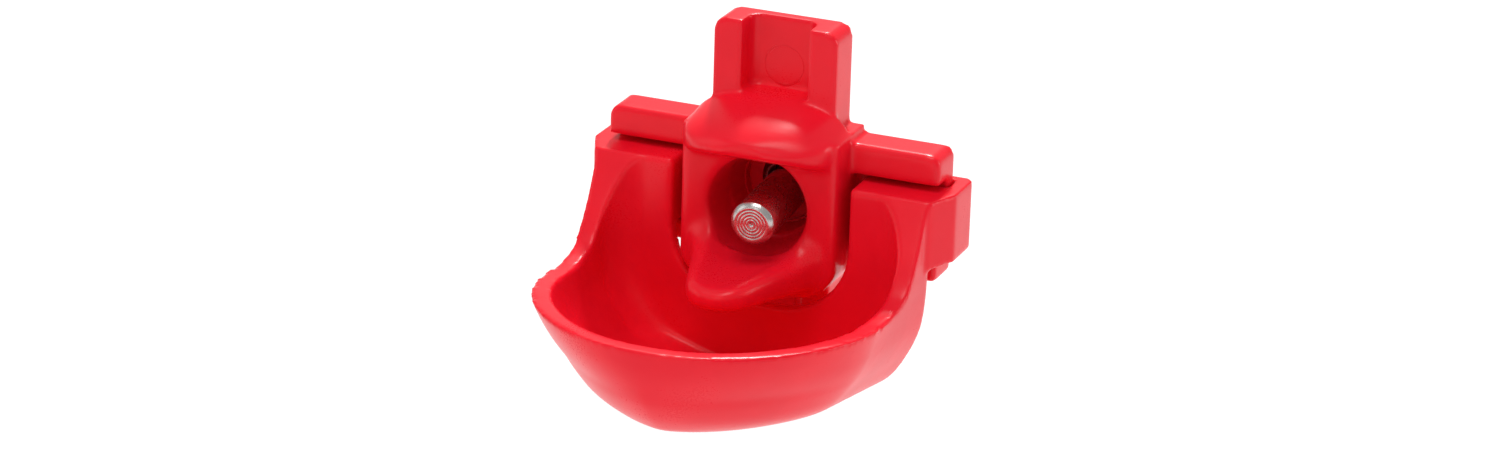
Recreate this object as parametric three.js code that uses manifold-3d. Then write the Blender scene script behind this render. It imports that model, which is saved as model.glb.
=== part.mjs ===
// Poultry drinker cup with a spring-closed push valve.
// Millimetres, +Z up. The origin is on the axis of the threaded shank, where the shank leaves the back
// plate. The shank points along +Y, the open front of the cup along -Y.

import * as THREE from "three";
import { mergeVertices } from "three/addons/utils/BufferGeometryUtils.js";
import Module from "manifold-3d";

const wasm = await Module();
wasm.setup();

// ---- Driving dimensions ---------------------------------------------------------------------------

const JOIN = 0.4; // how far two shapes of one moulding run into each other
const CLEARANCE = 0.3; // between pieces that touch
const SNAP_GAP = 0.7; // between the cup and the flanges that it sits between

// Cross-shaped back plate
const PLATE_WIDTH = 41;
const PLATE_THICKNESS = 2.1;
const FLANGE_DEPTH = 5;
const ARM_TOP = 7.5;
const ARM_HEIGHT = 3.6;
const ARM_CORNER = 1.3;
const LEDGE_BOTTOM = -7.7;
const LEDGE_HEIGHT = 2.3;
const LEDGE_CORNER = 0.4;
const UPRIGHT_TOP = 20.2;
const UPRIGHT_WIDTH = 15.2;
const UPRIGHT_CORNER = 1.5;
const UPRIGHT_FILLET = 1.4;
const LEG_BOTTOM = -19.9;
const RAIL_WIDTH = 3.5;
const WEB_THICKNESS = 1.6;

// Block, hood and tongue round the pin
const BLOCK_WIDTH = 19.3;
const BLOCK_FRONT = -9.2;
const BLOCK_BOTTOM = -10.8;
const BLOCK_CORNER = 0.9;
const UNDER_CORNER = 4.8; // of the block and the tongue, seen from the front
const HOOD_TOP = 11.5;
const HOOD_HEIGHT = 6.4;
const HOOD_NOSE = -14.2;
const HOOD_HALF_WIDTH = 9.2;
const HOOD_ROUND = 2.6;
const TONGUE_TOP = -5;
const TONGUE_TIP = -22.8;
const TONGUE_TIP_RADIUS = 3.2;
const TONGUE_TIP_TURN = 0.4; // how far the tip's arc runs to each side, in half turns
const TONGUE_TIP_DEPTH = 3.6;
const TONGUE_ROOT_DEPTH = 5.6;
const TONGUE_ROUND = 1.2;

// Threaded shank, its bore and its seat
const SHANK_LENGTH = 13.4;
const THREAD_BASE_RADIUS = 5.75;
const THREAD_TIP_RADIUS = 4.45;
const THREAD_PITCH = 1;
const THREAD_DEPTH = 0.45;
const RECESS_RADIUS = 5.3;
const RECESS_END = 0.3;
const RECESS_END_RADIUS = 4.7;
const MOUTH_RADIUS = 6.1;
const MOUTH_DEPTH = 5;
const MOUTH_DROP = 0.5;
const SPRING_BORE_RADIUS = 3.1;
const SPRING_SEAT = 7;
const STEM_BORE_RADIUS = 2.2;

// Valve: pin, spring, seal and button
const PIN_RADIUS = 2.6;
const PIN_FACE = -13.4;
const PIN_LENGTH = 11.7;
const PIN_CHAMFER = 0.5;
const STEM_RADIUS = 1;
const PIN_SAG = 2.1; // degrees that the pin leans down at rest, about the seat
const PIN_LEAN = 2.3; // degrees that it leans to the right at rest
const SEAL_THICKNESS = 0.8;
const SEAL_RADIUS = 2.8;
const SEAL_END_RADIUS = 2.2;
const BUTTON_RADIUS = 1.9;
const BUTTON_THICKNESS = 1.1;
const BUTTON_CHAMFER = 0.25;
const SPRING_WIRE = 0.5;
const SPRING_RADIUS = 2.3;
const SPRING_TURNS = 6;

// Sealing washer on the shank
const WASHER_RADIUS = 9.4;
const WASHER_THICKNESS = 2.5;
const WASHER_CORNER = 0.3;

// Cup
const BOWL_CENTRE = -21.8; // where the straight sides end and the round front begins
const BOWL_DEPTH = 15;
const BOWL_WALL = 2.3;
const FLOOR_WALL = 2;
const FLOOR_FALL = 0.125; // how far the floor drops for each millimetre towards the back
const BOWL_SPREAD = 0.14; // how much wider the floor is at the back, as a share of its width
const BOWL_POINT = 0.9; // how fast the front turns from round to pointed towards the floor
// [share of the depth, half of the width, front] from the rim down to the floor
const BOWL_LEVELS = [
  [0, 20.5, -42.8],
  [0.2, 19.8, -42.35],
  [0.4, 18.8, -41.4],
  [0.6, 17, -40.1],
  [0.8, 14.4, -37.7],
  [0.93, 10, -34.5],
  [1, 6.5, -27.3],
];
const RIM_FRONT = -6;
const RIM_LOW = -7.4;
const RIM_LOW_AT = -20;
const RIM_SWELL = 0.2; // how far the rim stands above its straight line, between front and lowest
// How the rim climbs to the shoulder: millimetres ahead of the back wall, and above its lowest point.
const RIM_CLIMB = [
  [6.9, 0.6],
  [4.6, 2.2],
  [2.1, 5.9],
];
const BACK_WALL_FRONT = -8.3;
const BACK_WALL_THICKNESS = 1.8;
const BACK_WALL_LEAN = 0.07; // how far the back wall comes forward for each millimetre down
const NOTCH_GAP = 1.3; // each side of the block
const NOTCH_BOTTOM = -12.6;
const NOTCH_CORNER = 8.2;
const INNER_BACK_CORNER = 4;
const OUTER_BACK_CORNER = 1.5;
const HOOK_WALL = 1.7;
const HOOK_LIP_THICKNESS = 1.3;
const HOOK_LIP_REACH = 1.5;
const HOOK_CHAMFER = 3.9;

// Fineness of round shapes
const ROUND_STEPS = 32;
const CORNER_STEPS = 3;
const BOWL_STEPS = 40;
const BOWL_RISE_STEPS = 12;
const BACK_CORNER_STEPS = 5;
const BEVEL_STEPS = 3;
const RIM_STEPS = 36;
const COIL_STEPS = 14; // in each turn of the spring
const WIRE_STEPS = 3; // in each half of the wire's section

// ---- Sizes that follow from them --------------------------------------------------------------------

const PLATE_EDGE = PLATE_WIDTH / 2;
const ARM_BOTTOM = ARM_TOP - ARM_HEIGHT;
const LEDGE_TOP = LEDGE_BOTTOM + LEDGE_HEIGHT;
const UPRIGHT_EDGE = UPRIGHT_WIDTH / 2;
const CHANNEL_EDGE = UPRIGHT_EDGE - RAIL_WIDTH;
const BLOCK_EDGE = BLOCK_WIDTH / 2;
const SHOULDER_TOP = ARM_BOTTOM - SNAP_GAP;
const SHOULDER_BOTTOM = LEDGE_TOP + CLEARANCE;
const SHOULDER_BACK = -PLATE_THICKNESS - CLEARANCE;
const NOTCH_EDGE = BLOCK_EDGE + NOTCH_GAP;
const HOOK_INSIDE = PLATE_EDGE + CLEARANCE;
const HOOK_OUTSIDE = HOOK_INSIDE + HOOK_WALL;
const BOWL_TOP = SHOULDER_TOP;
const BOWL_FRONT = BOWL_LEVELS[0][2];
const BEYOND = -2 * BOWL_FRONT; // further out than any part of the cup
const PIN_BACK = PIN_FACE + PIN_LENGTH;
const SEAL_FRONT = SHANK_LENGTH + CLEARANCE;
const SEAL_BACK = SEAL_FRONT + SEAL_THICKNESS;
const BUTTON_FRONT = SEAL_BACK + CLEARANCE;
const BUTTON_BACK = BUTTON_FRONT + BUTTON_THICKNESS;
const SEAT = (SEAL_FRONT + SEAL_BACK) / 2;
const WASHER_FRONT = CLEARANCE;

// ---- Solids and meshes --------------------------------------------------------------------------------

/** The volume inside a closed mesh, negative where its faces point inwards. */
function signedVolume(position, index) {
  let sum = 0;
  const [a, b, c] = [new THREE.Vector3(), new THREE.Vector3(), new THREE.Vector3()];
  for (let i = 0; i < index.length; i += 3) {
    a.fromBufferAttribute(position, index[i]);
    b.fromBufferAttribute(position, index[i + 1]);
    c.fromBufferAttribute(position, index[i + 2]);
    sum += a.dot(b.cross(c));
  }
  return sum / 6;
}

/** A closed three.js geometry as a solid that can be joined and cut. */
function solid(geometry) {
  const bare = geometry.clone();
  bare.deleteAttribute("normal");
  bare.deleteAttribute("uv");
  const merged = mergeVertices(bare, 1e-5);
  const index = Uint32Array.from(merged.index.array);
  if (signedVolume(merged.attributes.position, index) < 0) {
    index.reverse();
  }
  const vertProperties = Float32Array.from(merged.attributes.position.array);
  return new wasm.Manifold(new wasm.Mesh({ numProp: 3, vertProperties, triVerts: index }));
}

/** A solid back as a three.js geometry. */
function geometryOf(body) {
  const { vertProperties, triVerts } = body.getMesh();
  const geometry = new THREE.BufferGeometry();
  geometry.setAttribute("position", new THREE.BufferAttribute(vertProperties, 3));
  geometry.setIndex(new THREE.BufferAttribute(triVerts, 1));
  return geometry;
}

/** A solid as a named mesh in its own material. */
function mesh(name, body, { color, roughness, metalness = 0, opacity = 1 }) {
  const geometry = geometryOf(body);
  geometry.computeVertexNormals();
  const material = new THREE.MeshStandardMaterial({ color, roughness, metalness, opacity });
  material.transparent = opacity < 1;
  const piece = new THREE.Mesh(geometry, material);
  piece.name = name;
  return piece;
}

function box(x0, x1, y0, y1, z0, z1) {
  const geometry = new THREE.BoxGeometry(x1 - x0, y1 - y0, z1 - z0);
  return solid(geometry.translate((x0 + x1) / 2, (y0 + y1) / 2, (z0 + z1) / 2));
}

/** A shape drawn in X and Z, given a thickness along Y. */
function plateAlongY(shape, y0, y1) {
  const options = { depth: y1 - y0, bevelEnabled: false, curveSegments: CORNER_STEPS };
  const geometry = new THREE.ExtrudeGeometry(shape, options);
  return solid(geometry.rotateX(Math.PI / 2).translate(0, y1, 0));
}

/** A shape drawn in X and Y, given a height along Z, with its edges rounded. */
function plateAlongZ(shape, z0, z1, round = 0, curveSegments = CORNER_STEPS) {
  const geometry = new THREE.ExtrudeGeometry(shape, {
    depth: z1 - z0 - 2 * round,
    bevelEnabled: round > 0,
    bevelThickness: round,
    bevelSize: round,
    bevelOffset: -round,
    bevelSegments: BEVEL_STEPS,
    curveSegments,
  });
  return solid(geometry.translate(0, 0, z0 + round));
}

/** A shape drawn in Y and Z, given a width along X. */
function plateAlongX(shape, x0, x1) {
  const geometry = new THREE.ExtrudeGeometry(shape, { depth: x1 - x0, bevelEnabled: false });
  geometry.rotateY(Math.PI / 2).rotateX(Math.PI / 2);
  return solid(geometry.translate(x0, 0, 0));
}

/** A closed profile of [radius, y] points, turned about the Y axis or a line beside it. */
function turned(profile, rise = 0) {
  const points = profile.map(([radius, y]) => new THREE.Vector2(radius, y));
  return solid(new THREE.LatheGeometry(points, ROUND_STEPS).translate(0, 0, rise));
}

/** A plain round pin along Y. */
function rod(radius, y0, y1) {
  return turned([[0, y0], [radius, y0], [radius, y1], [0, y1]]);
}

/** A rectangle with round corners. */
function roundedRectangle(x0, x1, z0, z1, radius) {
  const shape = new THREE.Shape();
  shape.moveTo(x0 + radius, z0);
  shape.lineTo(x1 - radius, z0);
  shape.absarc(x1 - radius, z0 + radius, radius, -Math.PI / 2, 0);
  shape.lineTo(x1, z1 - radius);
  shape.absarc(x1 - radius, z1 - radius, radius, 0, Math.PI / 2);
  shape.lineTo(x0 + radius, z1);
  shape.absarc(x0 + radius, z1 - radius, radius, Math.PI / 2, Math.PI);
  shape.lineTo(x0, z0 + radius);
  shape.absarc(x0 + radius, z0 + radius, radius, Math.PI, Math.PI * 1.5);
  return shape;
}

/** A polygon through [x, y] points. */
function polygon(points) {
  return new THREE.Shape(points.map(([x, y]) => new THREE.Vector2(x, y)));
}

function mirrored(body) {
  return solid(geometryOf(body).scale(-1, 1, 1));
}

// ---- Valve body ---------------------------------------------------------------------------------------

/** The right half of the cross, from the middle of the leg's foot up to the middle of the top. */
function crossPath() {
  const quarter = Math.PI / 2;
  const root = UPRIGHT_EDGE + UPRIGHT_FILLET;
  const path = new THREE.Path();
  path.moveTo(0, LEG_BOTTOM);
  path.lineTo(UPRIGHT_EDGE - UPRIGHT_CORNER, LEG_BOTTOM);
  path.absarc(UPRIGHT_EDGE - UPRIGHT_CORNER, LEG_BOTTOM + UPRIGHT_CORNER, UPRIGHT_CORNER, -quarter, 0);
  path.lineTo(UPRIGHT_EDGE, LEDGE_BOTTOM);
  path.lineTo(PLATE_EDGE - LEDGE_CORNER, LEDGE_BOTTOM);
  path.absarc(PLATE_EDGE - LEDGE_CORNER, LEDGE_BOTTOM + LEDGE_CORNER, LEDGE_CORNER, -quarter, 0);
  path.lineTo(PLATE_EDGE, ARM_TOP - ARM_CORNER);
  path.absarc(PLATE_EDGE - ARM_CORNER, ARM_TOP - ARM_CORNER, ARM_CORNER, 0, quarter);
  path.lineTo(root, ARM_TOP);
  path.absarc(root, ARM_TOP + UPRIGHT_FILLET, UPRIGHT_FILLET, -quarter, -2 * quarter, true);
  path.lineTo(UPRIGHT_EDGE, UPRIGHT_TOP - UPRIGHT_CORNER);
  path.absarc(UPRIGHT_EDGE - UPRIGHT_CORNER, UPRIGHT_TOP - UPRIGHT_CORNER, UPRIGHT_CORNER, 0, quarter);
  path.lineTo(0, UPRIGHT_TOP);
  return path;
}

/** The cross-shaped plate: flanges all round, with a pocket in each side and a channel up and down. */
function backPlate() {
  const right = crossPath().getPoints(CORNER_STEPS);
  const left = right.slice(1, -1).reverse().map(({ x, y }) => new THREE.Vector2(-x, y));
  const cross = plateAlongY(new THREE.Shape([...right, ...left]), -FLANGE_DEPTH, 0);
  const front = -FLANGE_DEPTH - JOIN;
  const pocket = box(UPRIGHT_EDGE, PLATE_EDGE + JOIN, front, -PLATE_THICKNESS, LEDGE_TOP, ARM_BOTTOM);
  const upper = box(-CHANNEL_EDGE, CHANNEL_EDGE, front, -WEB_THICKNESS, ARM_TOP, UPRIGHT_TOP + JOIN);
  const lower = box(-CHANNEL_EDGE, CHANNEL_EDGE, front, -WEB_THICKNESS, LEG_BOTTOM - JOIN, LEDGE_BOTTOM);
  return cross.subtract(pocket).subtract(mirrored(pocket)).subtract(upper).subtract(lower);
}

/** The block round the pin, as high as the hood. */
function block() {
  const turn = BLOCK_EDGE - BLOCK_CORNER;
  const outline = new THREE.Shape();
  outline.moveTo(-BLOCK_EDGE, -JOIN);
  outline.lineTo(-BLOCK_EDGE, BLOCK_FRONT + BLOCK_CORNER);
  outline.absarc(-turn, BLOCK_FRONT + BLOCK_CORNER, BLOCK_CORNER, Math.PI, Math.PI * 1.5);
  outline.absarc(turn, BLOCK_FRONT + BLOCK_CORNER, BLOCK_CORNER, Math.PI * 1.5, Math.PI * 2);
  outline.lineTo(BLOCK_EDGE, -JOIN);
  return plateAlongZ(outline, BLOCK_BOTTOM, HOOD_TOP - HOOD_ROUND - JOIN);
}

/** The rounded roof over the pin, which runs back between the upright's rails to its web. */
function hood() {
  const shoulders = BLOCK_FRONT + BLOCK_CORNER;
  const outline = new THREE.Shape();
  outline.moveTo(-HOOD_HALF_WIDTH, HOOD_ROUND);
  outline.lineTo(-HOOD_HALF_WIDTH, shoulders);
  outline.absellipse(0, shoulders, HOOD_HALF_WIDTH, shoulders - HOOD_NOSE, Math.PI, Math.PI * 2);
  outline.lineTo(HOOD_HALF_WIDTH, HOOD_ROUND);
  const roof = plateAlongZ(outline, HOOD_TOP - HOOD_HEIGHT, HOOD_TOP, HOOD_ROUND, ROUND_STEPS / 4);
  const wide = box(-PLATE_EDGE, PLATE_EDGE, 2 * HOOD_NOSE, JOIN - FLANGE_DEPTH, 0, UPRIGHT_TOP);
  const betweenRails = CHANNEL_EDGE + JOIN;
  const narrow = box(-betweenRails, betweenRails, 2 * HOOD_NOSE, JOIN - WEB_THICKNESS, 0, UPRIGHT_TOP);
  return roof.intersect(wide.add(narrow));
}

/** The tapered lip under the pin, which leads the water into the bowl. */
function tongue() {
  const tipCentre = TONGUE_TIP + TONGUE_TIP_RADIUS;
  const outline = new THREE.Shape();
  const root = BLOCK_FRONT + BLOCK_CORNER;
  outline.moveTo(BLOCK_EDGE, -JOIN);
  outline.lineTo(-BLOCK_EDGE, -JOIN);
  outline.lineTo(-BLOCK_EDGE, root);
  const [from, to] = [1.5 - TONGUE_TIP_TURN, 1.5 + TONGUE_TIP_TURN];
  outline.absarc(0, tipCentre, TONGUE_TIP_RADIUS, Math.PI * from, Math.PI * to);
  outline.lineTo(BLOCK_EDGE, root);
  const under = polygon([
    [TONGUE_TIP - JOIN, TONGUE_TOP - TONGUE_TIP_DEPTH],
    [0, TONGUE_TOP - TONGUE_ROOT_DEPTH],
    [0, TONGUE_TOP + JOIN],
    [TONGUE_TIP - JOIN, TONGUE_TOP + JOIN],
  ]);
  return plateAlongZ(outline, TONGUE_TOP - TONGUE_ROOT_DEPTH, TONGUE_TOP, TONGUE_ROUND)
    .intersect(plateAlongX(under, -BLOCK_WIDTH, BLOCK_WIDTH));
}

function crestRadius(y) {
  return THREE.MathUtils.mapLinear(y, 0, SHANK_LENGTH, THREAD_BASE_RADIUS, THREAD_TIP_RADIUS);
}

/** The tapered shank, with its thread as rings. */
function shank() {
  const profile = [[0, -JOIN], [crestRadius(0) - THREAD_DEPTH, -JOIN]];
  for (let y = THREAD_PITCH / 2; y < SHANK_LENGTH; y += THREAD_PITCH) {
    profile.push([crestRadius(y) - THREAD_DEPTH, y - THREAD_PITCH / 2]);
    profile.push([crestRadius(y), y]);
  }
  profile.push([crestRadius(SHANK_LENGTH) - THREAD_DEPTH, SHANK_LENGTH]);
  profile.push([0, SHANK_LENGTH]);
  return turned(profile);
}

/** Everything that is hollow along the pin: mouth, recess, spring bore and stem bore. */
function hollow() {
  const mouth = turned([
    [0, BLOCK_FRONT - JOIN],
    [MOUTH_RADIUS, BLOCK_FRONT - JOIN],
    [MOUTH_RADIUS, BLOCK_FRONT],
    [RECESS_RADIUS, BLOCK_FRONT + MOUTH_DEPTH],
    [0, BLOCK_FRONT + MOUTH_DEPTH],
  ], -MOUTH_DROP);
  const recess = turned([
    [0, BLOCK_FRONT - JOIN],
    [RECESS_RADIUS, BLOCK_FRONT - JOIN],
    [RECESS_RADIUS, BLOCK_FRONT + MOUTH_DEPTH],
    [RECESS_END_RADIUS, RECESS_END],
    [0, RECESS_END],
  ]);
  return recess
    .add(mouth)
    .add(rod(SPRING_BORE_RADIUS, RECESS_END - JOIN, SPRING_SEAT))
    .add(rod(STEM_BORE_RADIUS, SPRING_SEAT - JOIN, SHANK_LENGTH + JOIN));
}

/** The block with its tongue, round along both lower edges. */
function blockWithTongue() {
  const edge = BLOCK_EDGE + CLEARANCE;
  const section = roundedRectangle(-edge, edge, BLOCK_BOTTOM, UPRIGHT_TOP, UNDER_CORNER);
  return block().add(tongue()).intersect(plateAlongY(section, 2 * TONGUE_TIP, 0));
}

function valveBody() {
  return backPlate().add(blockWithTongue()).add(hood()).add(shank()).subtract(hollow());
}

// ---- Cup ----------------------------------------------------------------------------------------------

/** The bowl's plan at one level: round to pointed in front, straight sides, round corners at the back. */
function bowlOutline(halfWidth, front, backHalfWidth, back, corner, power) {
  const bend = (value) => Math.sign(value) * Math.abs(value) ** (2 / power);
  const round = Array.from({ length: BOWL_STEPS + 1 }, (_, i) => {
    const angle = Math.PI + (Math.PI * i) / BOWL_STEPS;
    const y = BOWL_CENTRE + (BOWL_CENTRE - front) * bend(Math.sin(angle));
    return [halfWidth * bend(Math.cos(angle)), y];
  });
  const turn = Math.min(corner, backHalfWidth);
  const arc = (side, from) =>
    Array.from({ length: BACK_CORNER_STEPS + 1 }, (_, i) => {
      const angle = from + ((Math.PI / 2) * i) / BACK_CORNER_STEPS;
      const x = side * (backHalfWidth - turn) + turn * Math.cos(angle);
      return [x, back - turn + turn * Math.sin(angle)];
    });
  return [...round, ...arc(1, 0), ...arc(-1, Math.PI / 2)];
}

/** The bowl's outer or inner form: a turned shape whose rings are drawn out to the bowl's plan. */
function bowlForm(wall, floorWall, back, corner) {
  const curve = new THREE.CatmullRomCurve3(BOWL_LEVELS.map((level) => new THREE.Vector3(...level)));
  curve.curveType = "catmullrom";
  const levels = curve.getPoints(BOWL_RISE_STEPS).reverse();
  const top = new THREE.Vector3(0, levels[levels.length - 1].y, BOWL_FRONT);
  const rings = [...levels, top].map(({ x: share, y: half, z: front }, index) => {
    const backHalf = half * (1 + BOWL_SPREAD * share) - wall;
    const power = 2 - BOWL_POINT * Math.min(share, 0.5);
    const depth = share * (BOWL_DEPTH - floorWall);
    const height = index > levels.length - 1 ? BOWL_TOP + JOIN : RIM_FRONT - depth;
    const outline = bowlOutline(half - wall, front + wall, backHalf, back, corner, power);
    return { share, height, outline };
  });
  const walls = rings.map(({ height }) => height);
  const heights = [walls[0], ...walls, walls[walls.length - 1]];
  const columns = rings[0].outline.length;
  const ends = heights.length - 1;
  const form = new THREE.LatheGeometry(
    heights.map((height, i) => new THREE.Vector2(i % ends === 0 ? 0 : 1, height)), columns);
  const points = form.attributes.position;
  heights.forEach((height, level) => {
    const { share, outline } = rings[THREE.MathUtils.clamp(level - 1, 0, rings.length - 1)];
    for (let column = 0; column <= columns; column += 1) {
      const [x, y] = level % ends === 0 ? [0, BOWL_CENTRE] : outline[column % columns];
      const fall = FLOOR_FALL * (y - BOWL_CENTRE) * share;
      points.setXYZ(column * heights.length + level, x, y, height - fall);
    }
  });
  return solid(form);
}

/** Everything below the rim: level in front, lowest beside the tongue, then up to the shoulders. */
function belowRim() {
  const front = BOWL_FRONT;
  const rim = new THREE.SplineCurve([
    new THREE.Vector2(front, RIM_FRONT),
    new THREE.Vector2((front + RIM_LOW_AT) / 2, (RIM_FRONT + RIM_LOW) / 2 + RIM_SWELL),
    new THREE.Vector2(RIM_LOW_AT, RIM_LOW),
    ...RIM_CLIMB.map(([ahead, above]) => new THREE.Vector2(BACK_WALL_FRONT - ahead, RIM_LOW + above)),
    new THREE.Vector2(BACK_WALL_FRONT, SHOULDER_TOP),
  ]).getPoints(RIM_STEPS);
  const shape = new THREE.Shape([
    ...rim,
    new THREE.Vector2(0, SHOULDER_TOP),
    new THREE.Vector2(0, -BEYOND),
    new THREE.Vector2(front - JOIN, -BEYOND),
    new THREE.Vector2(front - JOIN, RIM_FRONT),
  ]);
  return plateAlongX(shape, -BEYOND, BEYOND);
}

/** Everything in front of the bowl's leaning back face. */
function beforeBack() {
  const top = BACK_WALL_FRONT + BACK_WALL_THICKNESS;
  const low = -BEYOND;
  return plateAlongX(
    polygon([
      [-BEYOND, BEYOND],
      [top, BEYOND],
      [top, RIM_FRONT],
      [top + BACK_WALL_LEAN * (low - RIM_FRONT), low],
      [-BEYOND, low],
    ]),
    -BEYOND,
    BEYOND,
  );
}

/** The opening in the back wall that the block and the tongue come through. */
function notch() {
  const shape = roundedRectangle(-NOTCH_EDGE, NOTCH_EDGE, NOTCH_BOTTOM, BEYOND, NOTCH_CORNER);
  return plateAlongY(shape, BACK_WALL_FRONT - JOIN, 0);
}

/** One shoulder with its hook round the plate's end, at +X. */
function shoulder() {
  const behind = CLEARANCE + HOOK_LIP_THICKNESS;
  const outline = polygon([
    [NOTCH_EDGE - JOIN, BACK_WALL_FRONT],
    [HOOK_OUTSIDE - HOOK_WALL, BACK_WALL_FRONT],
    [HOOK_OUTSIDE, BACK_WALL_FRONT + HOOK_CHAMFER],
    [HOOK_OUTSIDE, behind - HOOK_LIP_THICKNESS / 2],
    [HOOK_OUTSIDE - HOOK_LIP_THICKNESS / 2, behind],
    [PLATE_EDGE - HOOK_LIP_REACH, behind],
    [PLATE_EDGE - HOOK_LIP_REACH, CLEARANCE],
    [HOOK_INSIDE, CLEARANCE],
    [HOOK_INSIDE, SHOULDER_BACK],
    [NOTCH_EDGE - JOIN, SHOULDER_BACK],
  ]);
  return plateAlongZ(outline, SHOULDER_BOTTOM, SHOULDER_TOP);
}

function cup() {
  const wallBack = BACK_WALL_FRONT + BACK_WALL_THICKNESS;
  const outer = bowlForm(0, 0, wallBack + JOIN, OUTER_BACK_CORNER)
    .intersect(belowRim())
    .intersect(beforeBack());
  const inner = bowlForm(BOWL_WALL, FLOOR_WALL, BACK_WALL_FRONT, INNER_BACK_CORNER);
  const right = shoulder();
  return outer.subtract(inner).add(right).add(mirrored(right)).subtract(notch());
}

// ---- Valve parts and washer ---------------------------------------------------------------------------

/** The pin with its stem, at rest on one side of its play in the bore. */
function triggerPin() {
  const straight = turned([
    [0, PIN_FACE],
    [PIN_RADIUS - PIN_CHAMFER, PIN_FACE],
    [PIN_RADIUS, PIN_FACE + PIN_CHAMFER],
    [PIN_RADIUS, PIN_BACK],
    [STEM_RADIUS, PIN_BACK],
    [STEM_RADIUS, BUTTON_BACK],
    [0, BUTTON_BACK],
  ]);
  const { degToRad } = THREE.MathUtils;
  const leaning = geometryOf(straight).translate(0, -SEAT, 0).rotateX(degToRad(PIN_SAG));
  return solid(leaning.rotateZ(degToRad(PIN_LEAN)).translate(0, SEAT, 0));
}

/** A coil that leaves its ends just off the pin's back and off its seat in the bore. */
class Coil extends THREE.Curve {
  getPoint(t, target = new THREE.Vector3()) {
    const from = PIN_BACK + CLEARANCE + SPRING_WIRE / 2;
    const to = SPRING_SEAT - CLEARANCE - SPRING_WIRE / 2;
    const angle = t * SPRING_TURNS * Math.PI * 2;
    return target.set(
      SPRING_RADIUS * Math.cos(angle), from + (to - from) * t, SPRING_RADIUS * Math.sin(angle));
  }
}

function returnSpring() {
  const wire = new THREE.Shape();
  wire.absarc(0, 0, SPRING_WIRE / 2, 0, Math.PI * 2);
  return solid(new THREE.ExtrudeGeometry(wire, {
    extrudePath: new Coil(),
    steps: SPRING_TURNS * COIL_STEPS,
    curveSegments: WIRE_STEPS,
    bevelEnabled: false,
  }));
}

function poppetSeal() {
  return turned([
    [STEM_RADIUS + CLEARANCE, SEAL_FRONT],
    [SEAL_RADIUS, SEAL_FRONT],
    [SEAL_END_RADIUS, SEAL_BACK],
    [STEM_RADIUS + CLEARANCE, SEAL_BACK],
    [STEM_RADIUS + CLEARANCE, SEAL_FRONT],
  ]);
}

function tailButton() {
  return turned([
    [STEM_RADIUS + CLEARANCE, BUTTON_FRONT],
    [BUTTON_RADIUS, BUTTON_FRONT],
    [BUTTON_RADIUS, BUTTON_BACK - BUTTON_CHAMFER],
    [BUTTON_RADIUS - BUTTON_CHAMFER, BUTTON_BACK],
    [STEM_RADIUS + CLEARANCE, BUTTON_BACK],
    [STEM_RADIUS + CLEARANCE, BUTTON_FRONT],
  ]);
}

function sealingWasher() {
  const hole = THREAD_BASE_RADIUS + CLEARANCE;
  const back = WASHER_FRONT + WASHER_THICKNESS;
  return turned([
    [hole, WASHER_FRONT],
    [WASHER_RADIUS - WASHER_CORNER, WASHER_FRONT],
    [WASHER_RADIUS, WASHER_FRONT + WASHER_CORNER],
    [WASHER_RADIUS, back - WASHER_CORNER],
    [WASHER_RADIUS - WASHER_CORNER, back],
    [hole, back],
    [hole, WASHER_FRONT],
  ]);
}

// ---- Assembly -------------------------------------------------------------------------------------------

const redPlastic = { color: 0xe22a30, roughness: 0.35 };
const steel = { color: 0xb9bbbd, roughness: 0.22, metalness: 1 };
const springSteel = { color: 0xa9abad, roughness: 0.3, metalness: 1 };
const blackRubber = { color: 0x1e1e20, roughness: 0.7 };
const silicone = { color: 0xe6cbc6, roughness: 0.45, opacity: 0.85 };

const drinker = new THREE.Group();
drinker.add(mesh("valve_body", valveBody(), redPlastic));
drinker.add(mesh("cup", cup(), redPlastic));
drinker.add(mesh("sealing_washer", sealingWasher(), silicone));

const valve = new THREE.Group();
valve.add(mesh("trigger_pin", triggerPin(), steel));
valve.add(mesh("return_spring", returnSpring(), springSteel));
valve.add(mesh("poppet_seal", poppetSeal(), blackRubber));
valve.add(mesh("tail_button", tailButton(), steel));
drinker.add(valve);

export default drinker;
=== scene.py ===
"""Poultry drinker cup with a sprung push valve.

Two red mouldings that snap together, a turned steel pin, its coil spring, a rubber seal, a steel button
and a soft washer. Shapes are worked in millimetres on the bench and settled in metres at the end.
Front is -Y, the threaded shank runs along +Y, and +Z is up.
"""

import logging
import math
from dataclasses import dataclass
from enum import Enum
from typing import Callable, Sequence

import bmesh
import bpy
from mathutils import Matrix, Vector


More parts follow.
